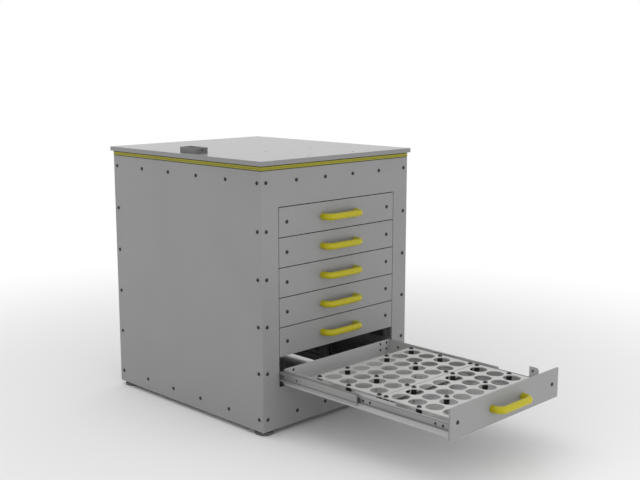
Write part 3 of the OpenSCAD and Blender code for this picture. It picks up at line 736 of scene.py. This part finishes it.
def make_racks(n, body, screws):
    """The two perforated plates, each on its own sleeves."""
    node = f"rack_plates_{n}"
    for i, points in enumerate(sorted(solids_of(node), key=lambda s: extent(s)[0].y)):
        low, high = extent(points)
        middle = (low + high) / 2
        inside = [(x - middle.x, y - middle.y, 0) for x, y, z in screws if low.y < y < high.y]
        piece = grown(f"rack_plate_{n}_{i + 1}", TREES["rack"], inside, {
            "Width": high.x - low.x, "Depth": high.y - low.y, "Thickness": high.z - low.z,
            "Finish": FINISHES["rack"]})
        for vert in piece.data.vertices:
            vert.co += Vector((middle.x, middle.y, low.z))
        bevel = piece.modifiers.new("ease", "BEVEL")
        bevel.width = RACK_EDGE
        bevel.segments = 2
        bevel.angle_limit = RACK_EASED_FROM
        name = piece.name
        piece.name = name + "_rough"
        dressed(smooth(baked(piece, name)), "rack", body, [node])


def make_lug_screw(n, body):
    """The small screw in the hole of the lug, the tray's highest part."""
    low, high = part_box(f"tray_{n}")
    seat = (high.x - SHEET, low.y + LUG_HOLE_BACK, high.z - LUG_HOLE_DROP)
    piece = grown(f"lug_screw_{n}", TREES["button"], [seat],
                  LUG_SCREW | {"Finish": FINISHES["black_screw"]}, [(-1, 0, 0)])
    dressed(smooth(piece), "black_screw", body, [])


def make_drawer(n):
    body, middle = f"drawer_{n}", f"middle_{n}"
    eased(f"drawer_front_{n}", f"front_plate_{n}", "panel", body, edge=0.3)
    make_handle(n, body)
    eased(f"tray_{n}", f"folded_tray_{n}", "tray", body, edge=0.3)
    make_lug_screw(n, body)
    make_racks(n, body, make_hardware(n, body))
    eased(f"drawer_slides_{n}", f"drawer_members_{n}", "slide", body, edge=0.4)
    node = f"middle_slides_{n}"
    eased(node, f"middle_members_{n}", "slide", middle, edge=0.4,
          keep=lambda size: size.y > MEMBER_FROM)
    eased(node, f"slide_bumpers_{n}", "slide", middle, keep=lambda size: size.y < MEMBER_FROM)


# Studio

WHITE = (1, 1, 1, 1)
FLOOR_COLOUR = (0.88, 0.88, 0.88, 1)
# Half the floor's side, and where its fade to white begins and ends
FLOOR = 60.0
FADE_FROM = 0.9
FADE_TO = 2.8
# The sky's strength on a matt surface; the camera and a glossy one see it white
SKY_ON_MATT = 0.74
LAMP_AIM = Vector((0, 0, 0.4))
LAMPS = [
    # Name, place, size across, power in watts
    ("overhead_lamp", (-0.6, 0.5, 4.2), 3.5, 34.0),
    ("left_lamp", (-4.2, -0.2, 1.8), 3.0, 14.0),
    ("low_front_lamp", (0.1, -3.4, 0.5), 1.2, 17.0),
]


def make_floor():
    """A pale floor that fades to white in the distance."""
    material = bpy.data.materials.new("studio_floor")
    material.use_nodes = True
    graph = Graph(material.node_tree)
    material.node_tree.nodes.clear()
    matt = graph.out("ShaderNodeBsdfDiffuse", {"Color": FLOOR_COLOUR})
    white = graph.out("ShaderNodeEmission", {"Color": WHITE, "Strength": 1.0})
    place = graph.add("ShaderNodeTexCoord").outputs["Object"]
    away = graph.add("ShaderNodeVectorMath", {0: place}, operation="LENGTH").outputs["Value"]
    fade = graph.add("ShaderNodeMapRange", {
        "Value": away, "From Min": FADE_FROM, "From Max": FADE_TO,
        "To Min": 0.0, "To Max": 1.0}, interpolation_type="SMOOTHSTEP").outputs["Result"]
    path = graph.add("ShaderNodeLightPath").outputs
    seen = graph.math("MAXIMUM", path["Is Camera Ray"], path["Is Glossy Ray"])
    share = graph.math("MULTIPLY", fade, seen)
    surface = graph.out("ShaderNodeMixShader", {0: share, 1: matt, 2: white})
    graph.add("ShaderNodeOutputMaterial", {"Surface": surface})
    mesh = bpy.data.meshes.new("studio_floor")
    mesh.from_pydata([(-FLOOR, -FLOOR, 0), (FLOOR, -FLOOR, 0), (FLOOR, FLOOR, 0),
                      (-FLOOR, FLOOR, 0)], [], [(0, 1, 2, 3)])
    mesh.materials.append(material)
    link_mesh("studio_floor", mesh)


def make_light():
    """Three soft lamps in a white sky, and the plain view of colours."""
    world = bpy.data.worlds.new("studio")
    bpy.context.scene.world = world
    world.use_nodes = True
    graph = Graph(world.node_tree)
    world.node_tree.nodes.clear()
    path = graph.add("ShaderNodeLightPath").outputs
    seen = graph.math("MAXIMUM", path["Is Camera Ray"], path["Is Glossy Ray"])
    seen = graph.math("MAXIMUM", seen, path["Is Transmission Ray"])
    strength = graph.add("ShaderNodeMapRange", {
        "Value": seen, "To Min": SKY_ON_MATT, "To Max": 1.0}).outputs["Result"]
    sky = graph.out("ShaderNodeBackground", {"Color": WHITE, "Strength": strength})
    graph.add("ShaderNodeOutputWorld", {"Surface": sky})
    for name, place, size, power in LAMPS:
        data = bpy.data.lights.new(name, "AREA")
        data.shape = "DISK"
        data.size = size
        data.energy = power
        lamp = bpy.data.objects.new(name, data)
        lamp.location = place
        aim = LAMP_AIM - Vector(place)
        lamp.rotation_mode = "QUATERNION"
        lamp.rotation_quaternion = aim.to_track_quat("-Z", "Y")
        bpy.context.scene.collection.objects.link(lamp)
    bpy.context.scene.view_settings.view_transform = "Standard"


make_camera()
make_body()
for number in DRAWERS:
    make_drawer(number)
make_floor()
make_light()
